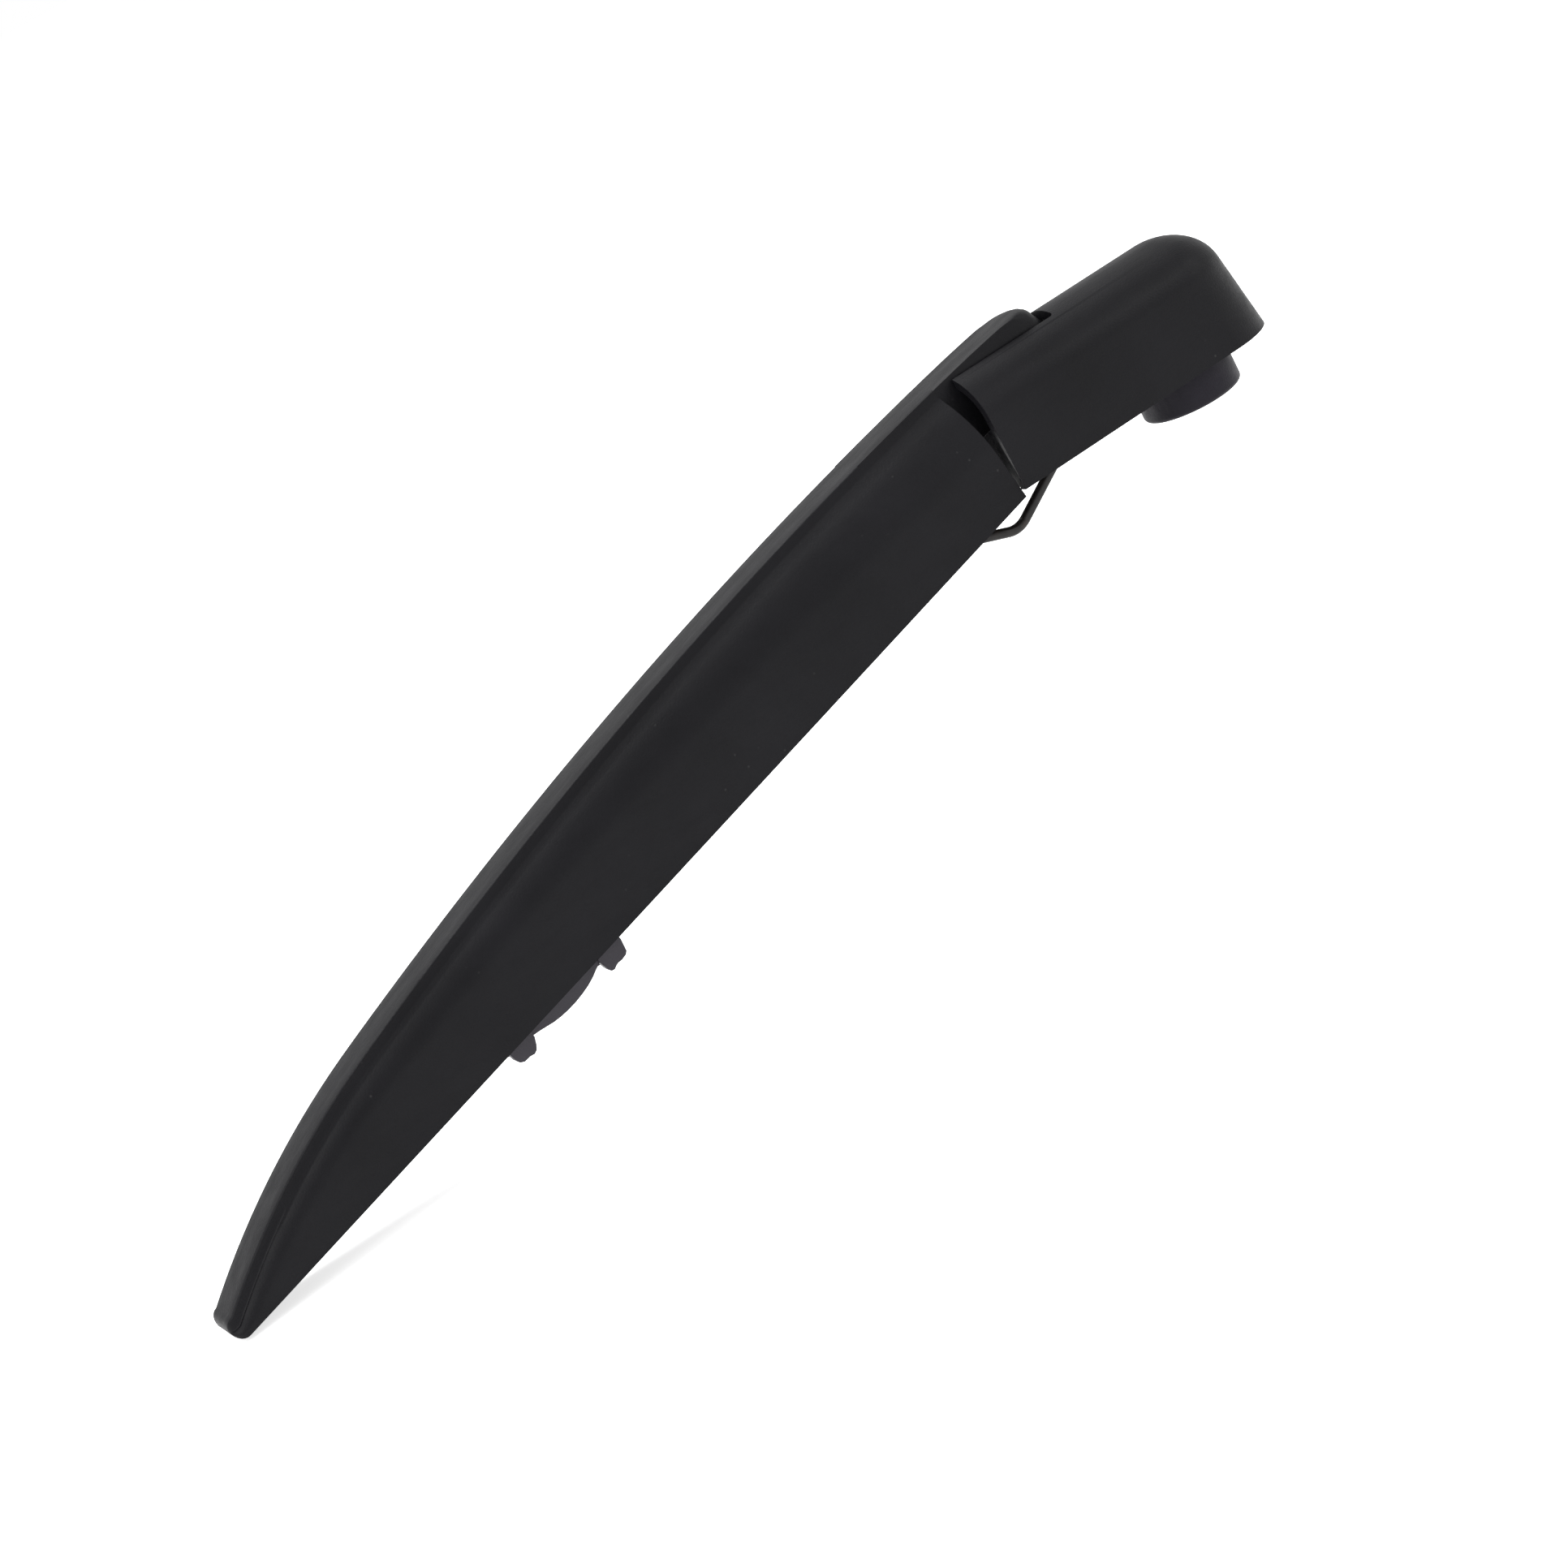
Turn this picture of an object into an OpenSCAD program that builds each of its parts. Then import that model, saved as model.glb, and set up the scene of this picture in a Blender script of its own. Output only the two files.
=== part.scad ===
// Rear wiper arm: a deep moulded arm on a spring-loaded hinge, carried by a head
// that clamps on the wiper spindle. Drawn as it hangs off the car, on its down stop.
// Origin: centre of the spindle socket's mouth. +Z: along the spindle, away from
// the glass. +X: from the spindle towards the arm's tip.

/* [Head] */
// Outer width of the head cover at its open lower edge
cover_w = 31; // [29:0.5:34]
// Height of the cover's crown above the socket mouth
cover_top = 38.5; // [38:0.25:42]
// Height of the cover's lower edge above the socket mouth
cover_foot = 8.4; // [7.5:0.1:10]
// Reach of the rounded end behind the spindle axis, at the lower edge
cover_back = 23.8; // [22:0.2:27]
// Reach of the cover's open front ahead of the spindle axis
cover_front = 57.2; // [56.5:0.1:57.5]
// Wall of the moulded cover
cover_wall = 2.2; // [1.6:0.1:2.4]
// Radius of the spindle boss
boss_r = 12.5; // [11.5:0.1:12.6]
// Height of the boss with its nut recess
boss_h = 20; // [18:0.5:22]
// Radius of the splined socket
socket_r = 5; // [4.5:0.1:5.5]
// Depth of the splined socket
socket_h = 9.5; // [8:0.5:11]
// Radius of the hole for the spindle's threaded end
stud_hole_r = 4.2; // [3.6:0.1:4.3]
// Thickness of each hinge ear
ear_t = 2.3; // [1.8:0.1:2.4]

/* [Hinge] */
// Hinge pin, ahead of the spindle axis
pivot_x = 47; // [46.5:0.25:47.5]
// Hinge pin, above the socket mouth
pivot_z = 27; // [26.5:0.25:27.25]
// Angle of the arm below the head on its down stop
droop = 13.9; // [13.5:0.1:16]
// Radius of the hinge pin
pin_r = 3; // [2.5:0.1:3.2]
// Radius of the knuckle around the bushes
knuckle_r = 6; // [5.6:0.1:6.2]
// Thickness of each bush flange
flange_t = 0.55; // [0.4:0.05:0.6]

/* [Arm] */
// Width of the raised spine along the arm's crown
spine_w = 12; // [10:0.5:12.5]
// Height of the spine above the shoulders
spine_h = 2.5; // [1.5:0.1:3]
// Width of the arm at its hinge end
arm_w = 29; // [26:0.5:30]
// Width of the arm at its tip
tip_w = 15; // [14.5:0.5:18]
// Arm's end face, ahead of the hinge pin
arm_start = 15; // [15:0.1:16]
// Arm's tip, ahead of the hinge pin
tip_x = 270; // [264:1:276]
// Lower edge of the arm, below the hinge pin
arm_foot = 17.2; // [16.8:0.1:18]
// Wall of the moulded arm
wall = 2.2; // [1.8:0.1:2.4]
// Highest point of the crown, ahead of the hinge pin
crown_x = 70; // [60:1:80]
// Height of the crown above the hinge pin
crown_z = 15.2; // [15:0.1:16]
// Radius of the long arch of the crown
crown_r = 1090; // [1050:10:1200]
// Where the crown bends down to the tip, ahead of the hinge pin
tip_bend_x = 211; // [205:1:214]
// Radius of the crown's bend towards the tip
tip_r = 187; // [180:1:200]

/* [Spring] */
// Hook pin, ahead of the spindle axis
hook_pin_x = 26; // [25.75:0.25:26.25]
// Hook pin, above the socket mouth
hook_pin_z = 10; // [9.75:0.25:10.25]
// Radius of the hook pin and of the spring pin
hook_pin_r = 2; // [1.6:0.1:2.1]
// Radius of the hook's wire
hook_wire_r = 1.1; // [0.9:0.05:1.2]
// Radius of the spring's wire
spring_wire_r = 0.95; // [0.7:0.05:1]
// Mean radius of the spring's coils
coil_r = 3.6; // [3:0.1:3.7]
// Number of turns in the spring
turns = 20; // [12:1:24]

/* [Blade adapter] */
// Adapter's pivot, ahead of the hinge pin
adapter_x = 170.2; // [168:0.2:172]
// Adapter's length over its two feet
adapter_len = 35.8; // [34:0.2:37]
// Adapter's width
adapter_w = 11; // [9:0.5:11.5]
// Length of each foot
foot_len = 6.5; // [5.5:0.1:7]
// Radius of the adapter's pin
adapter_pin_r = 2.2; // [1.8:0.1:2.5]

/* [Hidden] */
$fn = 64;

run_gap = 0.15;
fit_gap = 0.02;
pin_gap = 0.05;
eps = 0.01;
moulded = [0.11, 0.11, 0.12];
cast = [0.17, 0.17, 0.18];
steel = [0.55, 0.56, 0.58];

pivot = [pivot_x, pivot_z];
hook_pin = [hook_pin_x, hook_pin_z];
half_spine = spine_w / 2;
knuckle_half = half_spine;
ear_in = knuckle_half + flange_t + run_gap;
ear_out = ear_in + ear_t;
bush_r = pin_r + 1.4;

// Shape of the head
crown_half = cover_w / 2 - 0.5;
crown_rise = 12;
crown_base = cover_top - crown_rise;
dome_x = crown_half - cover_back + 3.3;
slot_half = half_spine + 0.7;
slot_corner_r = 1.2;
tongue_r = 21.6;
insert_r = socket_r + 3;
insert_h = socket_h + 4;
nut_recess_r = boss_r - 3;
edge_r = 1.2;

// The arm's crown: a long arch, then a tighter bend to the tip
bend_angle = asin((tip_bend_x - crown_x) / crown_r);
bend_z = crown_z - crown_r * (1 - cos(bend_angle));
tongue_bend_x = 4;
tongue_bend_r = 140;
function arch_z(x) = crown_z - crown_r + sqrt(pow(crown_r, 2) - pow(x - crown_x, 2));
function tip_angle(x) = asin(sin(bend_angle) + (x - tip_bend_x) / tip_r);
tongue_angle = asin((crown_x - tongue_bend_x) / crown_r);
function tongue_turn(x) = asin(sin(tongue_angle) + (tongue_bend_x - x) / tongue_bend_r);
function top_z(x) =
    x > tip_bend_x ? bend_z - tip_r * (cos(bend_angle) - cos(tip_angle(x))) :
    x < tongue_bend_x ? arch_z(tongue_bend_x)
        - tongue_bend_r * (cos(tongue_angle) - cos(tongue_turn(x))) :
    arch_z(x);
function half_w(x) =
    (arm_w + (tip_w - arm_w) * (x - arm_start) / (tip_x - arm_start)) / 2;

// One section across the arm, from its lower right edge over the crown.
// inset takes it inwards by the wall, and foot is its lower edge.
shoulder_steps = 8;
spine_edge_r = 0.6;
function shoulder_drop(x) = 3 + 0.75 * (half_w(x) - half_spine);
function half_section(x, inset, foot) =
    let (
        side = half_w(x) - inset,
        spine = half_spine - inset,
        top = top_z(x) - inset,
        ledge = top_z(x) - spine_h - inset,
        low = top_z(x) - spine_h - shoulder_drop(x)
    )
    concat(
        [[side, foot]],
        [for (i = [0:shoulder_steps]) let (t = 90 * i / shoulder_steps)
            [spine + (side - spine) * cos(t), low + (ledge - low) * sin(t)]],
        [[spine, top - spine_edge_r],
         [spine - spine_edge_r * 0.3, top - spine_edge_r * 0.3],
         [spine - spine_edge_r, top]]
    );
function backwards(list) = [for (i = [len(list) - 1:-1:0]) list[i]];
function mirrored(half) =
    concat(half, [for (p = backwards(half)) [-p[0], p[1]]]);

// The arm is an upturned channel up to cavity_end, and solid from there to the tip.
// Outside and cavity are skinned past the channel's open faces, which are cut flat.
cavity_end = tip_x - 8;
overshoot = 1.5;
outside_foot = -arm_foot - overshoot;
cavity_foot = -arm_foot - 2 * overshoot;

// Skin through a row of sections that have the same number of points
module loft(stations, sections) {
    n = len(sections[0]);
    m = len(sections);
    points = [for (j = [0:m - 1]) for (p = sections[j]) [stations[j], p[0], p[1]]];
    sides = [for (j = [0:m - 2]) for (i = [0:n - 1])
        let (a = j * n + i, b = j * n + (i + 1) % n)
        each [[a, a + n, b], [b, a + n, b + n]]];
    polyhedron(points, concat(sides,
        [[for (i = [0:n - 1]) i], [for (i = [n - 1:-1:0]) (m - 1) * n + i]]));
}

// Stations: closer where the crown bends more
station_n = 30;
function station(i) = arm_start + (tip_x - arm_start) * pow(i / station_n, 0.85);
outside = concat([arm_start - 2 * overshoot], [for (i = [1:station_n]) station(i)]);
cavity = concat([arm_start - 4 * overshoot],
                [for (i = [1:station_n]) if (station(i) < cavity_end - 1) station(i)],
                [cavity_end + 2 * overshoot]);

// Rounded tip: the last sections shrink towards the middle of the end face
nose_r = 2.5;
nose_steps = 3;
function shrink(section, cut, mid_z) =
    let (k = (half_w(tip_x) - cut) / half_w(tip_x),
         h = (top_z(tip_x) + arm_foot - 2 * cut) / (top_z(tip_x) + arm_foot))
    [for (p = section) [p[0] * k, mid_z + (p[1] - mid_z) * h]];
nose_stations = [for (i = [1:nose_steps]) tip_x + nose_r * sin(90 * i / nose_steps)];
nose_sections = [for (i = [1:nose_steps])
    shrink(mirrored(half_section(tip_x, 0, outside_foot)),
           nose_r * (1 - cos(90 * i / nose_steps)), (top_z(tip_x) - arm_foot) / 2)];

module in_arm() {
    translate([pivot_x, 0, pivot_z]) rotate([0, droop, 0]) children();
}

// A flat profile drawn in X and Z, with its thickness along Y
module across(width) {
    rotate([90, 0, 0]) linear_extrude(width, center = true) children();
}

module cross_pin(x, z, r, half_len) {
    translate([x, 0, z]) rotate([90, 0, 0]) cylinder(r = r, h = 2 * half_len, center = true);
}

module both_sides() {
    children();
    mirror([0, 1, 0]) children();
}

// Head

module ear_profile() {
    difference() {
        union() {
            polygon([[6, cover_foot], [6, boss_h], [20, boss_h + 2],
                     pivot + knuckle_r * [cos(118), sin(118)],
                     pivot + knuckle_r * [cos(-55), sin(-55)],
                     hook_pin + [9, -2], hook_pin + [4, cover_foot - hook_pin_z - 1.2],
                     [hook_pin_x - 8, cover_foot - 1.2], [9, cover_foot]]);
            translate(pivot) circle(knuckle_r);
        }
        translate(pivot) circle(pin_r + fit_gap);
        translate(hook_pin) circle(hook_pin_r + fit_gap);
    }
}

module head_base() {
    web_half = ear_out - 0.3;
    color(cast) {
        difference() {
            union() {
                rotate_extrude()
                    difference() {
                        union() {
                            translate([0, edge_r]) square([boss_r, boss_h - edge_r]);
                            square([boss_r - edge_r, edge_r + eps]);
                            translate([boss_r - edge_r, edge_r]) circle(edge_r);
                        }
                        translate([-edge_r * 2, -eps]) square([edge_r * 2, boss_h + 1]);
                    }
                both_sides()
                    translate([0, (ear_in + ear_out) / 2, 0]) across(ear_t) ear_profile();
                translate([7, -web_half, cover_foot]) cube([13, 2 * web_half, 5]);
                translate([7, -web_half, boss_h - 4]) cube([8, 2 * web_half, 4]);
            }
            translate([0, 0, -1]) cylinder(r = insert_r + fit_gap, h = insert_h + 1);
            translate([0, 0, insert_h - eps]) cylinder(r = nut_recess_r, h = boss_h);
        }
    }
}

module spline_insert() {
    color(steel) difference() {
        cylinder(r = insert_r, h = insert_h);
        translate([0, 0, -1]) cylinder(r = socket_r, h = socket_h + 1);
        cylinder(r = stud_hole_r, h = insert_h + 1);
    }
}

// The cover's body, shrunk inwards by inset. It is a dome behind the spindle, and
// an arched tunnel ahead of it.
module cover_body(inset) {
    arch = crown_half - inset;
    rise = crown_rise - inset;
    foot_z = cover_foot - (inset > 0 ? 1 : 0);
    hull() {
        translate([dome_x, 0, crown_base]) scale([1, 1, rise / arch]) sphere(arch);
        translate([cover_w / 2 - cover_back, 0, foot_z])
            cylinder(r = cover_w / 2 - inset, h = eps);
        translate([cover_front - eps + inset, 0, crown_base])
            scale([1, 1, rise / arch]) rotate([0, 90, 0]) cylinder(r = arch, h = eps);
        translate([cover_front - eps + inset, inset - cover_w / 2, foot_z])
            cube([eps, cover_w - 2 * inset, eps]);
    }
}

module head_cover() {
    slot_x = pivot_x - tongue_r + 1.2;
    color(moulded) difference() {
        cover_body(0);
        cover_body(cover_wall);
        translate([slot_x + slot_corner_r, -slot_half, pivot_z])
            cube([cover_front, 2 * slot_half, cover_top]);
        translate([slot_x, slot_corner_r - slot_half, pivot_z])
            cube([cover_front, 2 * (slot_half - slot_corner_r), cover_top]);
        both_sides()
            translate([slot_x + slot_corner_r, slot_half - slot_corner_r, pivot_z])
                cylinder(r = slot_corner_r, h = cover_top);
    }
}

module hinge_pin() {
    pin_head_t = 1.1;
    color(steel) {
        cross_pin(pivot_x, pivot_z, pin_r, ear_out + 0.8);
        translate([pivot_x, ear_out + fit_gap, pivot_z]) rotate([-90, 0, 0])
            cylinder(r = pin_r + 1.2, h = pin_head_t);
    }
}

module hook_pin() {
    color(steel) cross_pin(hook_pin_x, hook_pin_z, hook_pin_r, ear_out + 0.4);
}

module hinge_bush() {
    sleeve_len = 4.5;
    color([0.75, 0.74, 0.7]) translate([pivot_x, 0, pivot_z]) rotate([-90, 0, 0])
        difference() {
            union() {
                translate([0, 0, knuckle_half - sleeve_len]) cylinder(r = bush_r, h = sleeve_len);
                translate([0, 0, knuckle_half]) cylinder(r = knuckle_r - 0.3, h = flange_t);
            }
            cylinder(r = pin_r + pin_gap, h = 4 * knuckle_half);
        }
}

// Arm

// The neck carries the spine back over the hinge and ends as the tongue in the
// cover's slot
neck_root = 38;
neck_inset = 0.06;
function under_z(x) = lookup(x, [[-24, 4.5], [-8, 3.5], [0, -3], [arm_start, -3],
                                 [24, 4], [neck_root, 12]]);
module neck_profile() {
    intersection() {
        polygon(concat([for (x = [-24:2:neck_root]) [x, top_z(x) - neck_inset]],
                       [for (x = [neck_root, 24, arm_start, 0, -8, -24]) [x, under_z(x)]]));
        union() {
            circle(tongue_r, $fn = 128);
            translate([0, -arm_foot]) square([2 * neck_root, 3 * arm_foot]);
        }
    }
}

spring_pin_x = 112;
spring_pin_z = -6;
adapter_z = -9;
lug_gap = 0.3;
lug_in = adapter_w / 2 + lug_gap;
spring_lug_in = coil_r + spring_wire_r + 0.8;

module pin_lugs(x, z, r, from_y, rise) {
    both_sides() {
        translate([x, half_w(x) - wall / 2, z]) rotate([90, 0, 0])
            cylinder(r = r, h = half_w(x) - wall / 2 - from_y);
        translate([x - r + 0.3, from_y, z])
            cube([2 * r - 0.6, half_w(x) - wall / 2 - from_y, rise]);
    }
}

module arm_body() {
    rib_t = 1.6;
    rib_depth = 4;
    rib_x = [132, 146, 236, 248];
    color(moulded) in_arm() difference() {
        union() {
            difference() {
                loft(concat(outside, nose_stations),
                     concat([for (x = outside) mirrored(half_section(x, 0, outside_foot))],
                            nose_sections));
                difference() {
                    loft(cavity, [for (x = cavity) mirrored(half_section(x, wall, cavity_foot))]);
                    translate([cavity_end, -arm_w, -3 * arm_foot])
                        cube([20, 2 * arm_w, 6 * arm_foot]);
                }
                translate([arm_start - 20, -arm_w, -3 * arm_foot])
                    cube([20, 2 * arm_w, 6 * arm_foot]);
                translate([0, -arm_w, -2 * arm_foot]) cube([2 * tip_x, 2 * arm_w, arm_foot]);
            }
            across(2 * (half_spine - neck_inset)) neck_profile();
            for (x = rib_x)
                translate([x, wall / 2 - half_w(x),
                           top_z(x) - spine_h - wall - rib_depth + 0.2])
                    cube([rib_t, 2 * half_w(x) - wall, rib_depth]);
            cross_pin(0, 0, knuckle_r, knuckle_half);
            pin_lugs(spring_pin_x, spring_pin_z, 4.2, spring_lug_in, 14);
            pin_lugs(adapter_x, adapter_z, 4.6, lug_in, 12);
        }
        cross_pin(0, 0, bush_r + fit_gap, knuckle_half + 1);
        cross_pin(spring_pin_x, spring_pin_z, hook_pin_r + fit_gap,
                  half_w(spring_pin_x) - wall / 2 + fit_gap);
        cross_pin(adapter_x, adapter_z, adapter_pin_r + fit_gap,
                  half_w(adapter_x) - wall / 2 + fit_gap);
    }
}

module spring_pin() {
    color(steel) in_arm()
        cross_pin(spring_pin_x, spring_pin_z, hook_pin_r, half_w(spring_pin_x) - wall / 2);
}

module adapter_pin() {
    color(steel) in_arm()
        cross_pin(adapter_x, adapter_z, adapter_pin_r, half_w(adapter_x) - wall / 2);
}

// The adapter rocks on its pin. Its two cheeks, each with two feet and a curved
// belly between them, straddle the blade's bridge.
module blade_adapter() {
    belly_r = 26.2;
    belly_z = -13.5;
    belly_half = adapter_len / 2 - foot_len - 1;
    foot_z = -14.6;
    bar_z = -6;
    notch_z = -10.6;
    hub_r = adapter_pin_r + 2.4;
    end_x = adapter_len / 2;
    bridge_half = 3;
    right = [[hub_r - 0.2, 0], [hub_r + 4, bar_z], [end_x, bar_z], [end_x, foot_z + 2.2],
             [end_x - 1.2, foot_z + 0.5], [end_x - 3.4, foot_z],
             [end_x - foot_len, foot_z + 1.2], [end_x - foot_len + 1.4, notch_z]];
    belly_turn = asin(belly_half / belly_r);
    belly = [for (i = [6:-1:-6]) let (a = belly_turn * i / 6)
        [belly_r * sin(a), belly_z + belly_r * (1 - cos(a))]];
    color([0.3, 0.29, 0.31]) in_arm() translate([adapter_x, 0, adapter_z]) difference() {
        union() {
            cross_pin(0, 0, hub_r, adapter_w / 2 + 0.1);
            across(adapter_w) polygon(concat(
                right, belly, [for (p = backwards(right)) [-p[0], p[1]]]));
        }
        cross_pin(0, 0, adapter_pin_r + pin_gap, adapter_w);
        translate([-end_x - 1, -bridge_half, foot_z - 1])
            cube([adapter_len + 2, 2 * bridge_half, bar_z - foot_z - 1.2]);
    }
}

// Spring and hook. Both lie in the mid plane, with the hook's crank passing
// below the hinge.

function along(a) = [cos(a), sin(a)];
function arm_point(x, z) = pivot + [x * cos(droop) + z * sin(droop),
                                    -x * sin(droop) + z * cos(droop)];
function angle_of(p, q) = atan2(q[1] - p[1], q[0] - p[0]);

loop_r = hook_pin_r + hook_wire_r + 0.1;
leg_angle = -29;
leg_len = 32.5;
crank_r = 4;
spring_back = arm_point(spring_pin_x, spring_pin_z);
spring_loop_r = hook_pin_r + spring_wire_r + 0.15;
hook_start = hook_pin + loop_r * along(leg_angle + 90);
crank = hook_start + leg_len * along(leg_angle);
pull_angle = angle_of(hook_pin, spring_back);
eye_along = 50;
eye = hook_pin + eye_along * along(pull_angle);
eye_r = 2.9;
eye_bend_r = 2.5;
eye_reach = sqrt(pow(eye_bend_r + eye_r, 2) - pow(eye_bend_r, 2));
rise_angle = angle_of(crank, eye);
link_end = eye - eye_reach * along(rise_angle);
eye_hold = 2 * eye_r - hook_wire_r - spring_wire_r - 0.1;
spring_front = eye + eye_hold * along(pull_angle);

// Points along an arc, each with the wire's heading there
function arc(centre, r, from, turn, n) = [for (i = [0:n])
    let (a = from + turn * i / n)
    [centre + r * along(a), a + (turn > 0 ? 90 : -90)]];

// Round wire bent in the X-Z plane, along points that carry their heading
module bent_wire(path, r, sides) {
    points = [for (p = path) for (k = [0:sides - 1])
        let (t = 360 * k / sides, q = p[0] + r * cos(t) * along(p[1] + 90))
        [q[0], r * sin(t), q[1]]];
    last = len(path) - 1;
    faces = [for (i = [0:last - 1]) for (k = [0:sides - 1])
        let (a = i * sides + k, b = i * sides + (k + 1) % sides)
        each [[a, b, a + sides], [b, b + sides, a + sides]]];
    polyhedron(points, concat(faces,
        [[for (k = [sides - 1:-1:0]) k], [for (k = [0:sides - 1]) last * sides + k]]));
}

// From the open hook around its pin, along the leg, round the crank and up to the eye
module spring_hook() {
    turn = rise_angle - leg_angle;
    cut = crank_r * tan(turn / 2);
    leg_end = crank - cut * along(leg_angle);
    bend = link_end + eye_bend_r * along(rise_angle - 90);
    eye_from = angle_of(bend, eye);
    color([0.2, 0.2, 0.21]) bent_wire(concat(
        arc(hook_pin, loop_r, leg_angle + 305, -215, 16),
        arc(leg_end + crank_r * along(leg_angle + 90), crank_r, leg_angle - 90, turn, 5),
        arc(bend, eye_bend_r, rise_angle + 90, eye_from - rise_angle - 90, 4),
        [for (p = arc(eye, eye_r, eye_from + 180, 285, 20)) if (p[1] > eye_from + 271) p]
    ), hook_wire_r, 10);
}

module wire_loop(at, r, tilt) {
    translate(at) rotate([tilt, 0, 0]) rotate_extrude($fn = 32)
        translate([r, 0]) circle(spring_wire_r, $fn = 16);
}

// Open coils between two loops: the front loop hangs in the hook's eye, and the
// back loop holds the spring pin.
module tension_spring() {
    ring = 14;
    sides = 6;
    reach = norm(spring_back - spring_front);
    coil_from = eye_r + 0.3;
    coil_to = reach - spring_loop_r - 0.3;
    n = turns * ring;
    function swell(i) = max(1.3, coil_r * min(1, i / ring, (n - i) / ring));
    function centre_of(i) = [coil_from + (coil_to - coil_from) * i / n,
        swell(i) * cos(360 * i / ring), swell(i) * sin(360 * i / ring)];
    function ring_of(i) =
        let (c = centre_of(i), a = 360 * i / ring, out = [0, cos(a), sin(a)])
        [for (k = [0:sides - 1]) let (t = 360 * k / sides)
            c + spring_wire_r * (cos(t) * out + sin(t) * [1, 0, 0])];
    points = [for (i = [0:n]) each ring_of(i)];
    faces = [for (i = [0:n - 1]) for (k = [0:sides - 1])
        let (a = i * sides + k, b = i * sides + (k + 1) % sides)
        each [[a, b, a + sides], [b, b + sides, a + sides]]];
    color(steel)
        translate([spring_front[0], 0, spring_front[1]])
            rotate([0, -pull_angle, 0]) {
                polyhedron(points, concat(faces,
                    [[for (k = [sides - 1:-1:0]) k], [for (k = [0:sides - 1]) n * sides + k]]));
                wire_loop([0, 0, 0], eye_r, 0);
                wire_loop([reach, 0, 0], spring_loop_r, 90);
            }
}

head_base();
spline_insert();
head_cover();
hinge_pin();
hook_pin();
mirror([0, 1, 0]) hinge_bush();  // hinge_bush_left
hinge_bush();  // hinge_bush_right
arm_body();
spring_pin();
adapter_pin();
blade_adapter();
spring_hook();
tension_spring();
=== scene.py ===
import math

import bmesh
import bpy
from mathutils import Matrix, Vector


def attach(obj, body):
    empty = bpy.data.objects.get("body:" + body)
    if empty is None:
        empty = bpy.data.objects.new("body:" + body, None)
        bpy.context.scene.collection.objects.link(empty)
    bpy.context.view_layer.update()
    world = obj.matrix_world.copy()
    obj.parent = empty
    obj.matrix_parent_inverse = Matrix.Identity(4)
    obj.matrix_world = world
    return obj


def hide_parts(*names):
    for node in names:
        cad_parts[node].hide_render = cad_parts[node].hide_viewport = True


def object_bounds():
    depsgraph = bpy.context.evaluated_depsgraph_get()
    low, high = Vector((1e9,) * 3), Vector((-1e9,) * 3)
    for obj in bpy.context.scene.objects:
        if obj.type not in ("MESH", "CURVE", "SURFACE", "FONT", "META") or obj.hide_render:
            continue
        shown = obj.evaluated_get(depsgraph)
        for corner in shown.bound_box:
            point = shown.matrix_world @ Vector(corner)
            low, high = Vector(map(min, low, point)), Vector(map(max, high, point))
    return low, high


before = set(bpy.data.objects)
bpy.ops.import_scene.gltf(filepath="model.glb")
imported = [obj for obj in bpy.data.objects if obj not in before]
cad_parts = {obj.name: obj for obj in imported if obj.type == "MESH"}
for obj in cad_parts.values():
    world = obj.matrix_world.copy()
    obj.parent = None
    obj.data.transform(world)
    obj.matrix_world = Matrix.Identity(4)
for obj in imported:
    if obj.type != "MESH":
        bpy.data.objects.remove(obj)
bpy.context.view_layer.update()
mm = 0.001
print("frame loaded:", len(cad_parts), "nodes")

shot = {
    "turn": 20.159,       # where the camera stands: degrees from +Y towards +X
    "lift": 15.893,       # degrees above the horizon
    "roll": 28.380,       # the arm hangs across the picture
    "aside": (-97.018, -91.126, 884.274),   # mm to the right, up and back from the origin
    "lens": 4600 / 1932 * 36,
}


def makeCamera():
    turn, lift, roll = (math.radians(shot[k]) for k in ("turn", "lift", "roll"))
    back = Vector((math.sin(turn) * math.cos(lift), math.cos(turn) * math.cos(lift), math.sin(lift)))
    level = Vector((-math.cos(turn), math.sin(turn), 0))
    rise = back.cross(level)
    right = level * math.cos(roll) - rise * math.sin(roll)
    up = level * math.sin(roll) + rise * math.cos(roll)
    aside = shot["aside"]
    place = (right * aside[0] + up * aside[1] + back * aside[2]) * mm
    camera = bpy.data.objects.new("camera", bpy.data.cameras.new("camera"))
    bpy.context.scene.collection.objects.link(camera)
    turned = Matrix((right, up, back)).transposed().to_4x4()
    camera.matrix_world = Matrix.Translation(place) @ turned
    camera.data.sensor_width = 36
    camera.data.lens = shot["lens"]
    camera.data.clip_start = 0.01
    bpy.context.scene.camera = camera


makeCamera()
bpy.context.scene.view_settings.view_transform = "Standard"
print("camera placed")


def shaderSetup(name, **sockets):
    material = bpy.data.materials.new(name)
    material.use_nodes = True
    tree = material.node_tree
    shader = tree.nodes["Principled BSDF"]
    for key, value in sockets.items():
        shader.inputs[key.replace("_", " ")].default_value = value
    return material, tree, shader


def objectCoords(tree, stretch=(1, 1, 1)):
    coords = tree.nodes.new("ShaderNodeTexCoord")
    mapping = tree.nodes.new("ShaderNodeMapping")
    mapping.inputs["Scale"].default_value = stretch
    tree.links.new(coords.outputs["Object"], mapping.inputs["Vector"])
    return mapping.outputs["Vector"]


def noiseAt(tree, vector, scale, detail=3, roughness=0.55):
    noise = tree.nodes.new("ShaderNodeTexNoise")
    noise.inputs["Scale"].default_value = scale
    noise.inputs["Detail"].default_value = detail
    noise.inputs["Roughness"].default_value = roughness
    tree.links.new(vector, noise.inputs["Vector"])
    return noise.outputs["Fac"]


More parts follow.
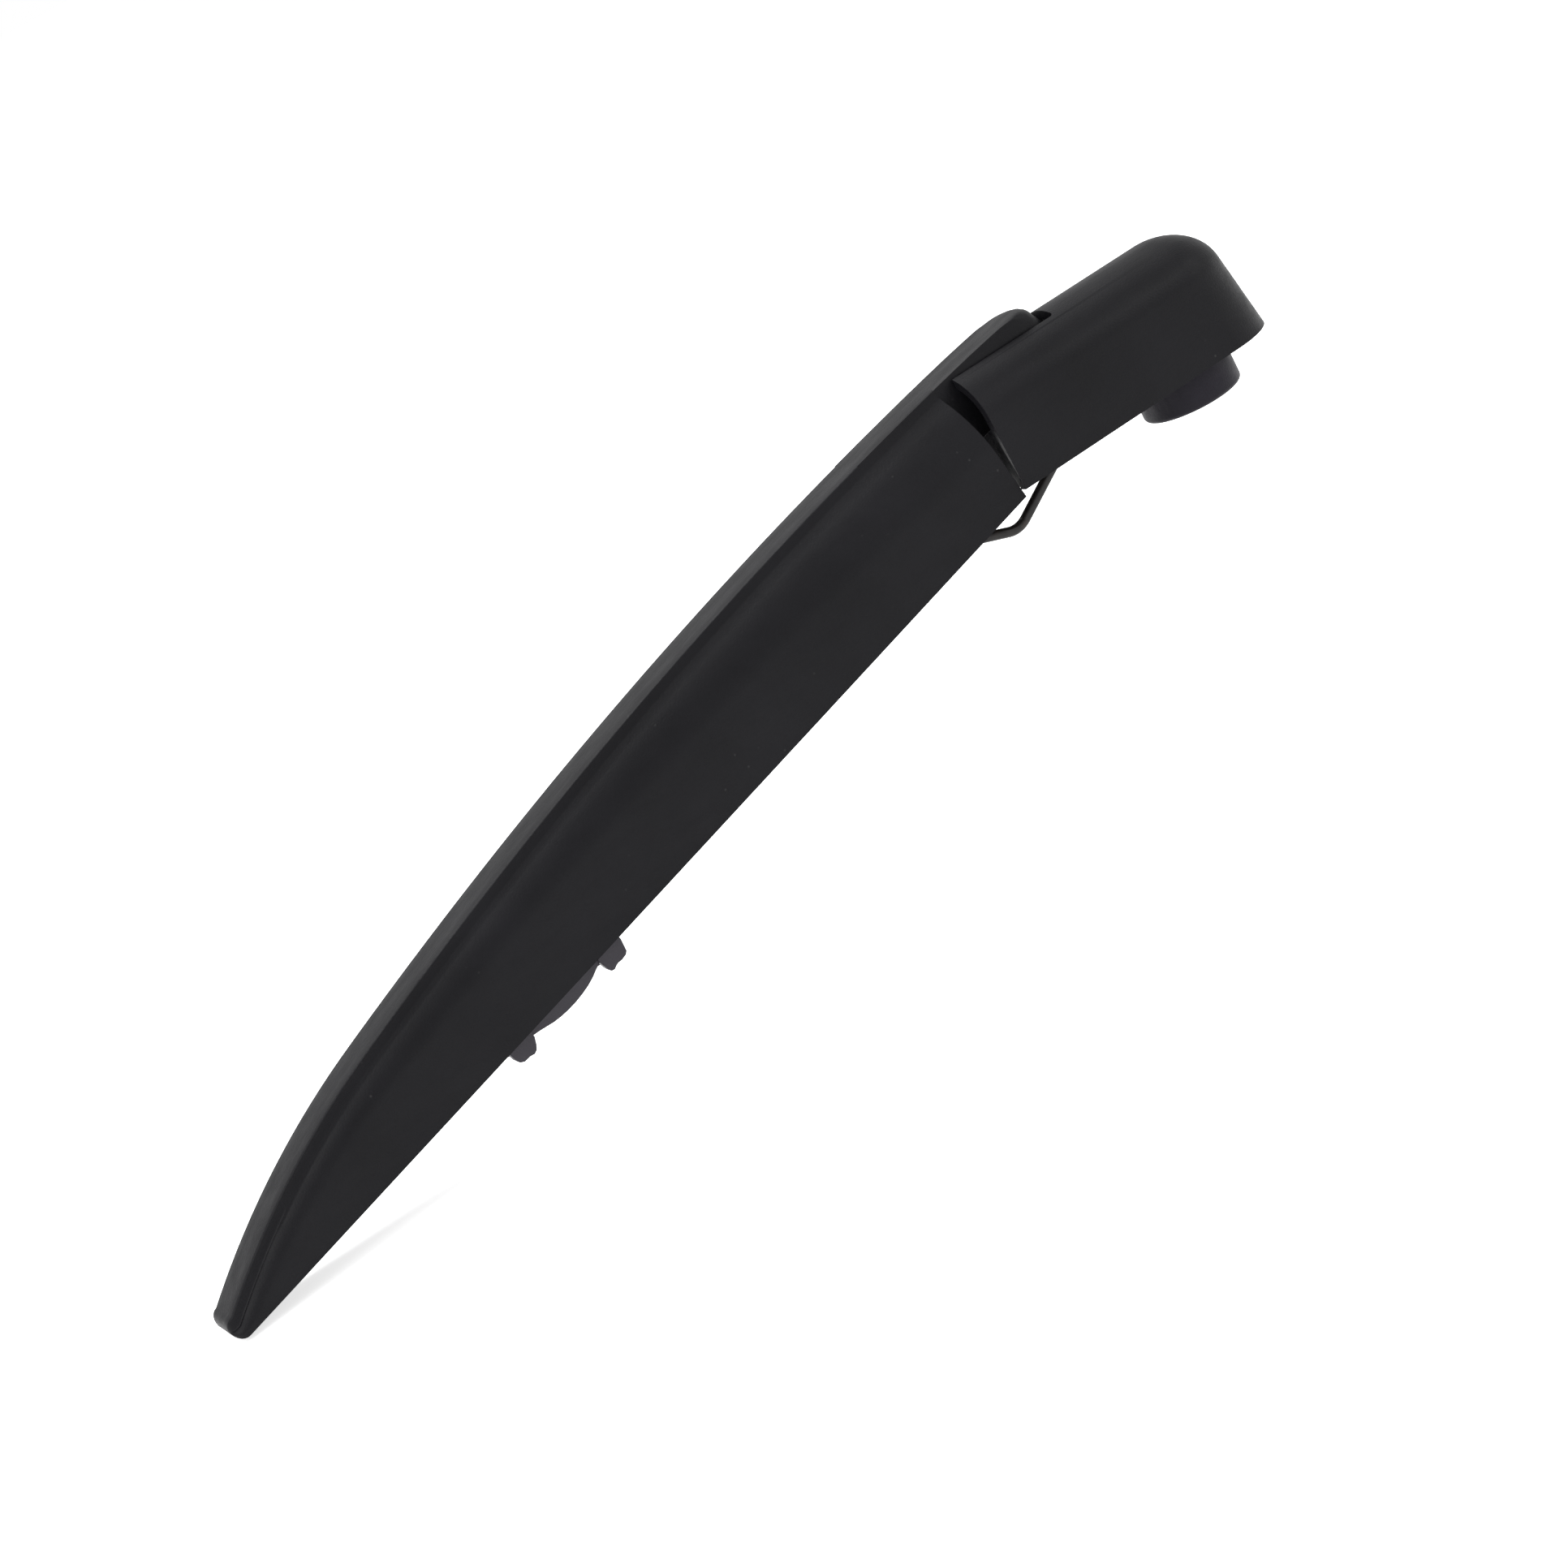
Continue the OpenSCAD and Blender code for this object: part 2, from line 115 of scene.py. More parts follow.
def spread(tree, value, low, high, start=0.0, end=1.0):
    remap = tree.nodes.new("ShaderNodeMapRange")
    remap.inputs["From Min"].default_value = start
    remap.inputs["From Max"].default_value = end
    remap.inputs["To Min"].default_value = low
    remap.inputs["To Max"].default_value = high
    tree.links.new(value, remap.inputs["Value"])
    return remap.outputs["Result"]


def mathNode(tree, operation, first, second):
    node = tree.nodes.new("ShaderNodeMath")
    node.operation = operation
    for value, socket in zip((first, second), node.inputs):
        if isinstance(value, float):
            socket.default_value = value
        else:
            tree.links.new(value, socket)
    return node


def shades(tree, value, stops):
    ramp = tree.nodes.new("ShaderNodeValToRGB")
    ramp.color_ramp.elements[0].position, ramp.color_ramp.elements[0].color = stops[0]
    ramp.color_ramp.elements[1].position, ramp.color_ramp.elements[1].color = stops[-1]
    for position, color in stops[1:-1]:
        ramp.color_ramp.elements.new(position).color = color
    tree.links.new(value, ramp.inputs["Fac"])
    return ramp.outputs["Color"]


def bumpOn(tree, shader, height, distance, strength=1.0, under=None):
    bump = tree.nodes.new("ShaderNodeBump")
    bump.inputs["Distance"].default_value = distance
    bump.inputs["Strength"].default_value = strength
    tree.links.new(height, bump.inputs["Height"])
    if under is not None:
        tree.links.new(under, bump.inputs["Normal"])
    tree.links.new(bump.outputs["Normal"], shader.inputs["Normal"])
    return bump.outputs["Normal"]


armFinish = {   # patterns in cells per metre, depths in metres
    "dark": (0.0042, 0.0041, 0.0052, 1),
    "pale": (0.0075, 0.0073, 0.0090, 1),
    "dust": (0.06, 0.06, 0.06, 1),
    "rough": (0.40, 0.52),
    "shine": 0.13,
    "cloud": 38,
    "specks": 260, "dusty": 55,         # dust lies in patches
    "wiped": 60,
    "grain": 2400, "grainDepth": 0.00008,   # the spark-eroded mould's grain
    "sink": 45, "sinkDepth": 0.00008,       # the shallow sink marks of a moulding
}
bossFinish = dict(armFinish, dark=(0.010, 0.009, 0.013, 1), pale=(0.020, 0.018, 0.025, 1),
                  rough=(0.42, 0.55))
adapterFinish = dict(armFinish, shine=0.3, dark=(0.026, 0.023, 0.030, 1),
                     pale=(0.044, 0.040, 0.050, 1), rough=(0.38, 0.5))
bushFinish = dict(armFinish, dark=(0.50, 0.48, 0.43, 1), pale=(0.60, 0.58, 0.53, 1),
                  dust=(0.3, 0.29, 0.26, 1), rough=(0.38, 0.46))


# satin moulding: fine grain, faint cloudiness, dust specks and wiped patches
def makeArmPlastic(name, look):
    material, tree, shader = shaderSetup(name, Specular_IOR_Level=look["shine"])
    coords = objectCoords(tree)
    cloud = noiseAt(tree, coords, look["cloud"], 4)
    base = shades(tree, cloud, [(0.3, look["dark"]), (0.7, look["pale"])])
    specks = tree.nodes.new("ShaderNodeTexVoronoi")
    specks.inputs["Scale"].default_value = look["specks"]
    tree.links.new(coords, specks.inputs["Vector"])
    speckMask = spread(tree, specks.outputs["Distance"], 0.55, 0.0, 0.0, 0.10)
    patches = spread(tree, noiseAt(tree, coords, look["dusty"], 2), 0.0, 1.0, 0.55, 0.68)
    both = mathNode(tree, "MULTIPLY", speckMask, patches)
    tint = tree.nodes.new("ShaderNodeMix")
    tint.data_type = "RGBA"
    tint.inputs[7].default_value = look["dust"]
    tree.links.new(both.outputs["Value"], tint.inputs[0])
    tree.links.new(base, tint.inputs[6])
    tree.links.new(tint.outputs[2], shader.inputs["Base Color"])
    wipe = noiseAt(tree, objectCoords(tree, (1, 5, 5)), look["wiped"], 5, 0.6)
    low, high = look["rough"]
    tree.links.new(spread(tree, wipe, low, high, 0.3, 0.7), shader.inputs["Roughness"])
    grain = noiseAt(tree, coords, look["grain"], 2, 0.5)
    fine = bumpOn(tree, shader, grain, look["grainDepth"], 0.8)
    sink = noiseAt(tree, objectCoords(tree, (0.5, 1, 1)), look["sink"], 1)
    bumpOn(tree, shader, sink, look["sinkDepth"], 0.5, fine)
    return material


platedFinish = {
    "dark": (0.34, 0.34, 0.35, 1), "pale": (0.52, 0.52, 0.54, 1), "rough": (0.24, 0.4),
    "mottle": 420, "grain": 1500, "grainDepth": 0.00002,
}
springFinish = dict(platedFinish, dark=(0.10, 0.10, 0.105, 1), pale=(0.20, 0.20, 0.21, 1),
                    rough=(0.34, 0.5))


def makeMetal(name, look):
    material, tree, shader = shaderSetup(name, Metallic=1.0)
    coords = objectCoords(tree)
    mottle = noiseAt(tree, coords, look["mottle"], 5)
    tree.links.new(shades(tree, mottle, [(0.35, look["dark"]), (0.65, look["pale"])]),
                   shader.inputs["Base Color"])
    low, high = look["rough"]
    tree.links.new(spread(tree, mottle, high, low, 0.35, 0.7), shader.inputs["Roughness"])
    bumpOn(tree, shader, noiseAt(tree, coords, look["grain"], 3), look["grainDepth"], 0.5)
    return material


wireFinish = {   # black coat with a few brown, worn places
    "shine": 0.3, "rough": 0.38,
    "stops": [(0.35, (0.008, 0.007, 0.007, 1)), (0.6, (0.014, 0.012, 0.011, 1)),
              (0.78, (0.045, 0.032, 0.026, 1))],
    "mottle": 300, "grain": 900, "grainDepth": 0.00004,
}


def makeWireCoat(name, look):
    material, tree, shader = shaderSetup(name, Specular_IOR_Level=look["shine"],
                                         Roughness=look["rough"])
    coords = objectCoords(tree)
    mottle = noiseAt(tree, coords, look["mottle"], 5)
    tree.links.new(shades(tree, mottle, look["stops"]), shader.inputs["Base Color"])
    bumpOn(tree, shader, noiseAt(tree, coords, look["grain"], 3), look["grainDepth"], 0.6)
    return material


finishes = {
    "black_plastic": makeArmPlastic("armPlastic", armFinish),
    "boss_plastic": makeArmPlastic("bossPlastic", bossFinish),
    "adapter_plastic": makeArmPlastic("adapterPlastic", adapterFinish),
    "bush_plastic": makeArmPlastic("bushPlastic", bushFinish),
    "steel": makeMetal("platedSteel", platedFinish),
    "spring_steel": makeMetal("springSteel", springFinish),
    "coated_wire": makeWireCoat("wireCoat", wireFinish),
}
print("materials made:", len(finishes))


def addPiece(name, mesh, body, slotName, *nodes):
    for polygon in mesh.polygons:
        polygon.use_smooth = True
    piece = bpy.data.objects.new(name, mesh)
    bpy.context.scene.collection.objects.link(piece)
    mesh.materials.clear()
    mesh.materials.append(finishes[slotName])
    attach(piece, body)
    if nodes:
        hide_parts(*nodes)
    return piece


def roundEdges(piece, width, segments=2, angle=32):
    bevel = piece.modifiers.new("roundedEdges", "BEVEL")
    bevel.width = width
    bevel.segments = segments
    bevel.limit_method = "ANGLE"
    bevel.angle_limit = math.radians(angle)
    bevel.harden_normals = True
    bevel.use_clamp_overlap = True
    return bevel


def meshFrom(form, name):
    mesh = bpy.data.meshes.new(name)
    form.to_mesh(mesh)
    form.free()
    return mesh


# the node's shape with its loose triangles joined up
def mergedCopy(node, name, flat=0.4):
    form = bmesh.new()
    form.from_mesh(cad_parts[node].data)
    bmesh.ops.remove_doubles(form, verts=form.verts, dist=0.000002)
    bmesh.ops.dissolve_limit(form, angle_limit=math.radians(flat), verts=form.verts, edges=form.edges)
    return meshFrom(form, name)


def finishForm(form, name, place=None):
    if place is not None:
        bmesh.ops.transform(form, verts=form.verts, matrix=place)
    bmesh.ops.remove_doubles(form, verts=form.verts, dist=0.000001)
    bmesh.ops.recalc_face_normals(form, faces=form.faces)
    return meshFrom(form, name)


def vertsOf(made):
    return [part for part in made if isinstance(part, bmesh.types.BMVert)]


def facesOf(made):
    return [part for part in made if isinstance(part, bmesh.types.BMFace)]


# draws a flat face out to a solid
def thicken(form, face, shift):
    made = bmesh.ops.extrude_face_region(form, geom=[face])["geom"]
    bmesh.ops.translate(form, verts=vertsOf(made), vec=shift)


# an outline in x and z, drawn across from one y to another
def drawPrism(form, outline, low, high):
    face = form.faces.new([form.verts.new((x * mm, low * mm, z * mm)) for x, z in outline])
    thicken(form, face, (0, (high - low) * mm, 0))


# a ring around a cross pin, from its bore to its outside
def spinRing(form, at, inner, outer, low, high, chamfer=0.3):
    profile = [(inner, low), (outer - chamfer, low), (outer, low + chamfer),
               (outer, high - chamfer), (outer - chamfer, high), (inner, high)]
    ring = [form.verts.new(((at[0] + r) * mm, y * mm, at[1] * mm)) for r, y in profile]
    loop = [form.edges.new((a, b)) for a, b in zip(ring, ring[1:] + ring[:1])]
    bmesh.ops.spin(form, geom=ring + loop, cent=(at[0] * mm, 0, at[1] * mm), axis=(0, 1, 0),
                   angle=math.radians(360), steps=48, use_merge=True, use_duplicate=False)


def addBlock(form, low, high):
    made = bmesh.ops.create_cube(form, size=1)["verts"]
    size = [b - a for a, b in zip(low, high)]
    middle = [(a + b) / 2 for a, b in zip(low, high)]
    bmesh.ops.scale(form, verts=made, vec=[v * mm for v in size])
    bmesh.ops.translate(form, verts=made, vec=[v * mm for v in middle])


arm = {   # mm, in the arm's own frame: x from the hinge towards the tip, z up
    "pivot": (47, 27), "droop": 13.9,      # the hinge's x and z; degrees below the head
    "start": 15, "tip": 270, "width": 29, "tipWidth": 15, "foot": 17.2, "wall": 2.2,
    "spineWidth": 12, "spineHeight": 2.5, "spineEdge": 0.6,
    "crown": (70, 15.2, 1090),             # the top line's highest x, its z and its radius
    "tipBend": (211, 187), "tongueBend": (4, 400),   # past this x, a smaller radius
    "shoulderSteps": 12, "shoulderTurn": 40, "shoulderDrop": 1.75,
    "lean": 2.7, "leanReach": 20,          # the root end leans towards the head at its top
}

armPlace = Matrix.Translation(Vector((arm["pivot"][0], 0, arm["pivot"][1])) * mm) @ Matrix.Rotation(
    math.radians(arm["droop"]), 4, "Y")


def addArmPiece(form, name):
    return addPiece(name, finishForm(form, name, armPlace), "arm", "black_plastic", "arm_body")


def topAt(x):
    crownX, crownZ, crownR = arm["crown"]
    bendX, bendR = arm["tipBend"]
    tongueX, tongueR = arm["tongueBend"]

    def arch(at):
        return crownZ - crownR + math.sqrt(crownR ** 2 - (at - crownX) ** 2)
    if x > bendX:
        slope = math.asin((bendX - crownX) / crownR)
        bent = math.asin(math.sin(slope) + (x - bendX) / bendR)
        return arch(bendX) - bendR * (math.cos(slope) - math.cos(bent))
    if x < tongueX:
        slope = math.asin((crownX - tongueX) / crownR)
        bent = math.asin(math.sin(slope) + (tongueX - x) / tongueR)
        return arch(tongueX) - tongueR * (math.cos(slope) - math.cos(bent))
    return arch(x)


def halfWidthAt(x):
    share = (x - arm["start"]) / (arm["tip"] - arm["start"])
    return (arm["width"] + (arm["tipWidth"] - arm["width"]) * share) / 2


# y and z round the section from foot to foot: side, steep shoulder, raised spine
def armSection(x, inset=0):
    side, spine, top = halfWidthAt(x) - inset, arm["spineWidth"] / 2 - inset, topAt(x) - inset
    ledge = top - arm["spineHeight"]
    drop = 1 + arm["shoulderDrop"] * (halfWidthAt(x) - arm["spineWidth"] / 2)
    low = max(ledge + inset - drop, 1 - arm["foot"])
    edge = arm["spineEdge"]
    fall = math.radians(arm["shoulderTurn"])
    half = [(side, -arm["foot"]), (side, (low - arm["foot"]) / 2)]
    for step in range(arm["shoulderSteps"] + 1):
        turn = fall * step / arm["shoulderSteps"]
        out = (math.cos(turn) - math.cos(fall)) / (1 - math.cos(fall))
        half.append((spine + (side - spine) * out, low + (ledge - low) * math.sin(turn) / math.sin(fall)))
    half[-1] = (spine + 0.35, ledge)
    half += [(spine, ledge + 0.35), (spine, top - edge)]
    half += [(spine - edge * (1 - math.cos(t)), top - edge * (1 - math.sin(t))) for t in (0.52, 1.05, 1.571)]
    half.append((spine * 0.45, top + 0.02))
    return half + [(-y, z) for y, z in reversed(half)]


def leanAt(x, z):
    share = max(0, 1 - (x - arm["start"]) / arm["leanReach"])
    return -arm["lean"] * share * (z + arm["foot"]) / (topAt(arm["start"]) + arm["foot"])


# draws a row of edges on to the next station's points
def skinOn(form, row, points, x, closed=True):
    ends = row[1:] + row[:1] if closed else row[1:]
    edges = [form.edges.get(pair) for pair in zip(row, ends)]
    fresh = set(vertsOf(bmesh.ops.extrude_edge_only(form, edges=edges)["geom"]))
    after = [next(e.other_vert(v) for e in v.link_edges if e.other_vert(v) in fresh) for v in row]
    for v, (y, z) in zip(after, points):
        v.co = Vector((x + leanAt(x, z), y, z)) * mm
    return after


fin = {   # mm
    "cavityEnd": 262, "stations": 60,
    "crowding": 0.9,      # under 1, the stations lie closer near the tip
    "noseRadius": 2.5, "noseTurns": (15, 30, 45, 60, 75, 88),
    "edge": 0.35,
}


# the nose: each station's x, and how far its outline is drawn in
def noseStations():
    end, tip, nose = fin["cavityEnd"], arm["tip"], fin["noseRadius"]
    stations = [(end + (tip - end) * i / 3, 0) for i in (1, 2, 3)]
    for turn in fin["noseTurns"]:
        angle = math.radians(turn)
        stations.append((tip + nose * math.sin(angle), nose * (1 - math.cos(angle))))
    return stations


def nosePoints(x, cut):
    tip, foot = arm["tip"], arm["foot"]
    at = min(x, tip)
    feet = halfWidthAt(at) - arm["wall"]
    points = armSection(at) + [(-feet, -foot), (feet, -foot)]
    if not cut:
        return points
    side, tall = halfWidthAt(tip), topAt(tip) + foot
    middle = topAt(tip) - tall / 2
    return [(y * (side - cut) / side, middle + (z - middle) * (tall - 2 * cut) / tall) for y, z in points]


# a channel of even wall up to the cavity's end, then solid round the nose
def makeArmShell():
    form = bmesh.new()
    start, end, wall, count = arm["start"], fin["cavityEnd"], arm["wall"], fin["stations"]
    outer = [form.verts.new(Vector((start + leanAt(start, z), y, z)) * mm) for y, z in armSection(start)]
    for pair in zip(outer, outer[1:]):
        form.edges.new(pair)
    inner = skinOn(form, outer, armSection(start, wall), start, closed=False)
    ring = outer + inner[::-1]
    for i in range(1, count + 1):
        x = start + (end - start) * (i / count) ** fin["crowding"]
        ring = skinOn(form, ring, armSection(x) + armSection(x, wall)[::-1], x)
    inner = ring[len(outer):]
    form.faces.new(inner)
    ring = ring[:len(outer)] + [inner[0], inner[-1]]
    for x, cut in noseStations():
        ring = skinOn(form, ring, nosePoints(x, cut), x)
    form.faces.new(ring)
    roundEdges(addArmPiece(form, "armShell"), fin["edge"] * mm, angle=50)


neck = {   # mm, over the hinge: it ends as a rounded tongue in the hood's slot
    "radius": 21.6,       # the tongue's end runs round the hinge
    "endFrom": (5, 5.8, 6.6), "bendFrom": 7.2, "corner": -20.1, "bendTo": -15.8,
    "roundness": 4.8, "roundFrom": -10, "roundReach": 9,
    "root": 38, "sink": 0.03,   # it lies just inside the fin's faces
    "under": [(-24, 4.5), (-8, 3.5), (0, -3), (15, -3), (24, 4), (38, 12)],
    "underAt": (38, 31, 24, 20, 15, 8, 0, -4, -8, -16),
    "cuts": (-5.6, -5, -4, -2, 0, 2, 4, 5, 5.6),
}


def underAt(x):
    marks = neck["under"]
    for (x0, z0), (x1, z1) in zip(marks, marks[1:]):
        if x <= x1:
            return z0 + (z1 - z0) * (x - x0) / (x1 - x0)
    return marks[-1][1]


def neckOutline():
    def endAt(z):
        return (-math.sqrt(neck["radius"] ** 2 - z ** 2), z)
    start = endAt(neck["bendFrom"])
    corner = (neck["corner"], topAt(neck["corner"]))
    end = (neck["bendTo"], topAt(neck["bendTo"]) - neck["sink"])
    outline = [endAt(z) for z in neck["endFrom"]]
    for step in range(11):
        t = step / 10
        parts = ((1 - t) ** 2, 2 * t * (1 - t), t ** 2)
        outline.append(tuple(sum(k * p[i] for k, p in zip(parts, (start, corner, end))) for i in (0, 1)))
    outline += [(x, topAt(x) - neck["sink"]) for x in range(-14, neck["root"] + 1, 2)]
    return outline + [(x, underAt(x)) for x in neck["underAt"]]


def makeArmNeck():
    half = arm["spineWidth"] / 2 - neck["sink"]
    form = bmesh.new()
    drawPrism(form, neckOutline(), -half, half)
    for y in neck["cuts"]:
        bmesh.ops.bisect_plane(form, geom=form.verts[:] + form.edges[:] + form.faces[:], dist=0.000001,
                               plane_co=(0, y * mm, 0), plane_no=(0, 1, 0))
    for v in form.verts:
        share = min(1, max(0, (neck["roundFrom"] * mm - v.co.x) / (neck["roundReach"] * mm)))
        across = min(1, abs(v.co.y) / (half * mm))
        v.co.x += neck["roundness"] * mm * share * (1 - math.sqrt(1 - 0.97 * across ** 2))
    bmesh.ops.recalc_face_normals(form, faces=form.faces)
    rim = [e for e in form.edges if len(e.link_faces) == 2 and e.calc_face_angle() > math.radians(40)]
    bmesh.ops.bevel(form, geom=rim, offset=arm["spineEdge"] * mm, segments=4, profile=0.5,
                    affect="EDGES", material=-1, clamp_overlap=True)
    addArmPiece(form, "armNeck")


knuckle = {"bore": 4.4, "outer": 6}   # mm, round the hinge's bushes


def makeHingeKnuckle():
    form = bmesh.new()
    half = arm["spineWidth"] / 2
    spinRing(form, (0, 0), knuckle["bore"], knuckle["outer"], -half, half)
    addArmPiece(form, "hingeKnuckle")


lugs = {   # mm, for each lug: its pin's place, radii, inner face and its rise to the roof
    "springLugs": {"at": (112, -6), "outer": 4.2, "inner": 2.0, "from": 5.35, "rise": 6.5},
    "adapterLugs": {"at": (170.2, -9), "outer": 4.6, "inner": 2.2, "from": 5.8, "rise": 8.5},
}


def makePinLugs(name, lug):
    x, z = lug["at"]
    out = halfWidthAt(x) - arm["wall"] / 2
    form = bmesh.new()
    for side in (-1, 1):
        near, far = sorted((side * lug["from"], side * out))
        spinRing(form, (x, z), lug["inner"], lug["outer"], near, far)
        addBlock(form, (x - lug["outer"] + 0.3, near, z + lug["inner"] + 0.6),
                 (x + lug["outer"] - 0.3, far, z + lug["rise"]))
    addArmPiece(form, name)


ribs = {"at": (132, 146, 236, 248), "thick": 1.6, "deep": 3.8, "edge": 0.2}   # mm, under the roof


def makeArmRibs():
    form = bmesh.new()
    for x in ribs["at"]:
        low = topAt(x) - arm["spineHeight"] - arm["wall"] - ribs["deep"]
        line = [(y, z) for y, z in armSection(x, arm["wall"] / 2) if z > low]
        line = [(line[0][0], low)] + line + [(line[-1][0], low)]
        face = form.faces.new([form.verts.new((x * mm, y * mm, z * mm)) for y, z in line])
        thicken(form, face, (ribs["thick"] * mm, 0, 0))
    roundEdges(addArmPiece(form, "armRibs"), ribs["edge"] * mm)


makeArmShell()
makeArmNeck()
makeHingeKnuckle()
for lugName, lugSizes in lugs.items():
    makePinLugs(lugName, lugSizes)
makeArmRibs()
print("arm made")


adapter = {   # mm, from the pin: x towards the tip, z up
    "at": (170.2, -9), "pinHole": 2.35, "hub": 4.6, "half": 5.5, "slotHalf": 3, "cheekHalf": 4.9,
    "edge": 0.4,
    "web": [(-6.2, -2.6), (6.2, -2.6), (8.6, -6.4), (-8.6, -6.4)],
    "bar": [(-17.7, -6), (17.7, -6), (17.7, -7.3), (-17.7, -7.3)],
    "cheek": [(-17.4, -6.3), (-17.4, -10.5), (-11.5, -11), (-10.3, -11.3), (-9.2, -11.6),
              (-7.5, -12.25), (-5.5, -12.75), (-3.4, -13.05), (-1, -13.2), (1.5, -13.15),
              (3.5, -12.95), (5.5, -12.6), (7.2, -12.1), (9.2, -11.5), (10.8, -11.1),
              (17.4, -10.4), (17.4, -6.3)],
    "rootFoot": [(-17.9, -7), (-17.9, -10.8), (-17, -13.7), (-16.3, -14.2), (-14.9, -14.35),
                 (-13.8, -14.15), (-13, -14.3), (-12.2, -14.6), (-11.4, -14.3), (-11.05, -13.2),
                 (-10.8, -11.2), (-10.8, -8)],
    "tipFoot": [(11, -8), (11.1, -11.2), (12.1, -12.9), (12.8, -13.7), (13.8, -14), (14.9, -13.6),
                (16.5, -13.5), (17.4, -12.9), (17.8, -11.8), (17.9, -10.4), (17.9, -7)],
}


def makeBladeAdapter():
    form = bmesh.new()
    half, slot, cheek = adapter["half"], adapter["slotHalf"], adapter["cheekHalf"]
    spinRing(form, (0, 0), adapter["pinHole"], adapter["hub"], -half, half)
    drawPrism(form, adapter["web"], -half, half)
    drawPrism(form, adapter["bar"], -cheek + 0.1, cheek - 0.1)
    for side in (-1, 1):
        for outline, inner, outer in (("cheek", slot, cheek), ("rootFoot", slot + 0.1, half),
                                      ("tipFoot", slot + 0.1, half)):
            low, high = sorted((side * inner, side * outer))
            drawPrism(form, adapter[outline], low, high)
    place = armPlace @ Matrix.Translation(Vector((adapter["at"][0], 0, adapter["at"][1])) * mm)
    piece = addPiece("bladeAdapter", finishForm(form, "bladeAdapter", place), "adapter",
                     "adapter_plastic", "blade_adapter")
    roundEdges(piece, adapter["edge"] * mm, 3, 40)


makeBladeAdapter()
print("adapter made")


cheeks = {   # mm: the thick inner lips beside the hood's open front
    "outline": [(44, 8.7), (57, 8.7), (57, 23), (52, 26), (44, 21)],
    "inner": 10.2, "outer": 13.35, "edge": 0.5,
}


def makeHoodCheeks():
    form = bmesh.new()
    for side in (-1, 1):
        low, high = sorted((side * cheeks["inner"], side * cheeks["outer"]))
        drawPrism(form, cheeks["outline"], low, high)
    piece = addPiece("hoodCheeks", finishForm(form, "hoodCheeks"), "head", "black_plastic")
    roundEdges(piece, cheeks["edge"] * mm)


makeHoodCheeks()
print("hood's lips made")


keptNodes = {   # nodes that keep their own shape: name, body, slot, mm of rounding
    "head_cover": ("headHood", "head", "black_plastic", 0.4),
    "head_base": ("headBase", "head", "boss_plastic", 0.3),
    "spline_insert": ("splineInsert", "head", "steel", 0.2),
    "hinge_pin": ("hingePin", "head", "steel", 0.3),
    "hook_pin": ("hookPin", "head", "steel", 0.3),
    "hinge_bush_left": ("hingeBushLeft", "arm", "bush_plastic", 0.1),
    "hinge_bush_right": ("hingeBushRight", "arm", "bush_plastic", 0.1),
    "spring_pin": ("springPin", "arm", "steel", 0.3),
    "adapter_pin": ("adapterPin", "arm", "steel", 0.3),
}


# shades the hood's many narrow faces as one smooth moulding
def evenOut(piece, bevel):
    bevel.harden_normals = False
    shade = piece.modifiers.new("evenShade", "WEIGHTED_NORMAL")
    shade.mode = "FACE_AREA_WITH_ANGLE"
    shade.keep_sharp = False


for node, (name, body, slotName, rounding) in keptNodes.items():
    piece = addPiece(name, mergedCopy(node, name), body, slotName, node)
    bevel = roundEdges(piece, rounding * mm)
    if node == "head_cover":
        evenOut(piece, bevel)
    print("piece:", name)


linkage = {"hookPin": (26, 10), "springPin": (112, -6), "pinRadius": 2}   # mm; springPin on the arm

hook = {   # mm and degrees
    "wire": 1.25, "loopGap": 1.2, "loopTurn": 215,
    "legAngle": -29, "legLength": 32.5, "crankRadius": 6.5,
    "eyeAlong": 50, "eyeRadius": 2.9, "eyeBend": 2.5, "eyeTurn": 285,
}

spring = {   # mm and degrees
    "wire": 0.95, "coilRadius": 3.6, "turns": 20, "perTurn": 36,
    "pinGap": 0.15, "coilGap": 0.3, "loopTurn": 350,
    "hookedIn": 2.15,   # how far the front loop's centre lies short of two eye radii
}


def heading(angle):
    return Vector((math.cos(math.radians(angle)), 0, math.sin(math.radians(angle))))


def angleTo(start, end):
    return math.degrees(math.atan2(end.z - start.z, end.x - start.x))


def planePoint(pair):
    return Vector((pair[0], 0, pair[1]))


def armPoint(x, z):
    droop = math.radians(arm["droop"])
    return planePoint(arm["pivot"]) + Vector((x * math.cos(droop) + z * math.sin(droop), 0,
                                              -x * math.sin(droop) + z * math.cos(droop)))


# the line of the hook and the spring in the middle plane, from the hook's pin to the arm's
hookPinAt = planePoint(linkage["hookPin"])
springBack = armPoint(*linkage["springPin"])
loopRadius = linkage["pinRadius"] + hook["loopGap"]
hookStart = hookPinAt + loopRadius * heading(hook["legAngle"] + 90)
crankAt = hookStart + hook["legLength"] * heading(hook["legAngle"])
pullAngle = angleTo(hookPinAt, springBack)
eyeAt = hookPinAt + hook["eyeAlong"] * heading(pullAngle)
riseAngle = angleTo(crankAt, eyeAt)
eyeReach = math.sqrt((hook["eyeBend"] + hook["eyeRadius"]) ** 2 - hook["eyeBend"] ** 2)
linkEnd = eyeAt - eyeReach * heading(riseAngle)
bendAt = linkEnd + hook["eyeBend"] * heading(riseAngle - 90)
springFront = eyeAt + (2 * hook["eyeRadius"] - spring["hookedIn"]) * heading(pullAngle)


